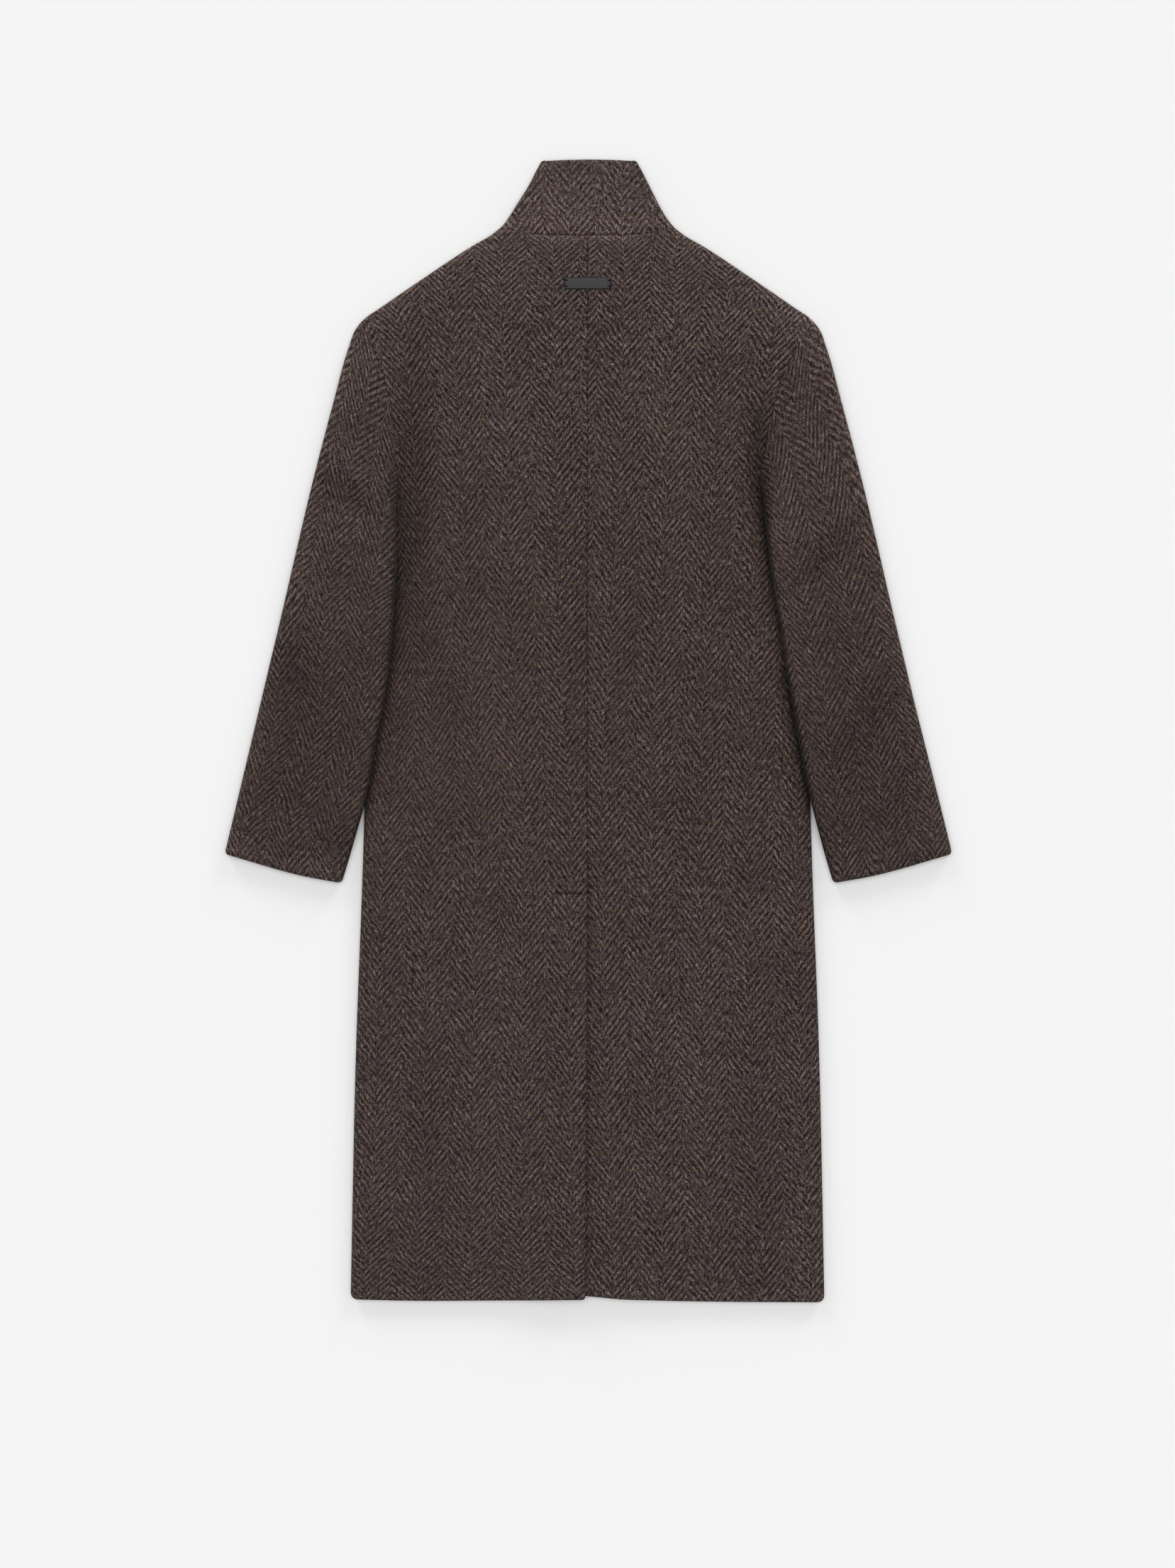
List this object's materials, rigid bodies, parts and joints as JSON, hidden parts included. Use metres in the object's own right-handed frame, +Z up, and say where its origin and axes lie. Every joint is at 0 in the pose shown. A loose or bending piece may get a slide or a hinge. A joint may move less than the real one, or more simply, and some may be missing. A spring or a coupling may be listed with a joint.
{
  "type": "overcoat",
  "caption": "Long herringbone wool overcoat with a stand collar, set-in sleeves, a centre back vent and a small bare back tab, laid out flat with its back up.",
  "frame": {"origin": "on the floor under the middle of the coat's outline", "axes": "+Z up from the floor, +Y along the centre back towards the collar, +X towards the wearer's right"},
  "size_m": [0.798, 1.2528, 0.0178],
  "materials": {
    "wool": "heavy brushed herringbone wool, matt, dark brown and taupe",
    "tab": "matt dark grey"
  },
  "bodies": {
    "root": {"back_left": "wool", "back_right": "wool", "front_left": "wool", "front_right": "wool", "sleeve_top_left": "wool", "sleeve_top_right": "wool", "sleeve_under_left": "wool", "sleeve_under_right": "wool", "collar": "wool", "back_tab": "tab"}
  },
  "joints": []
}
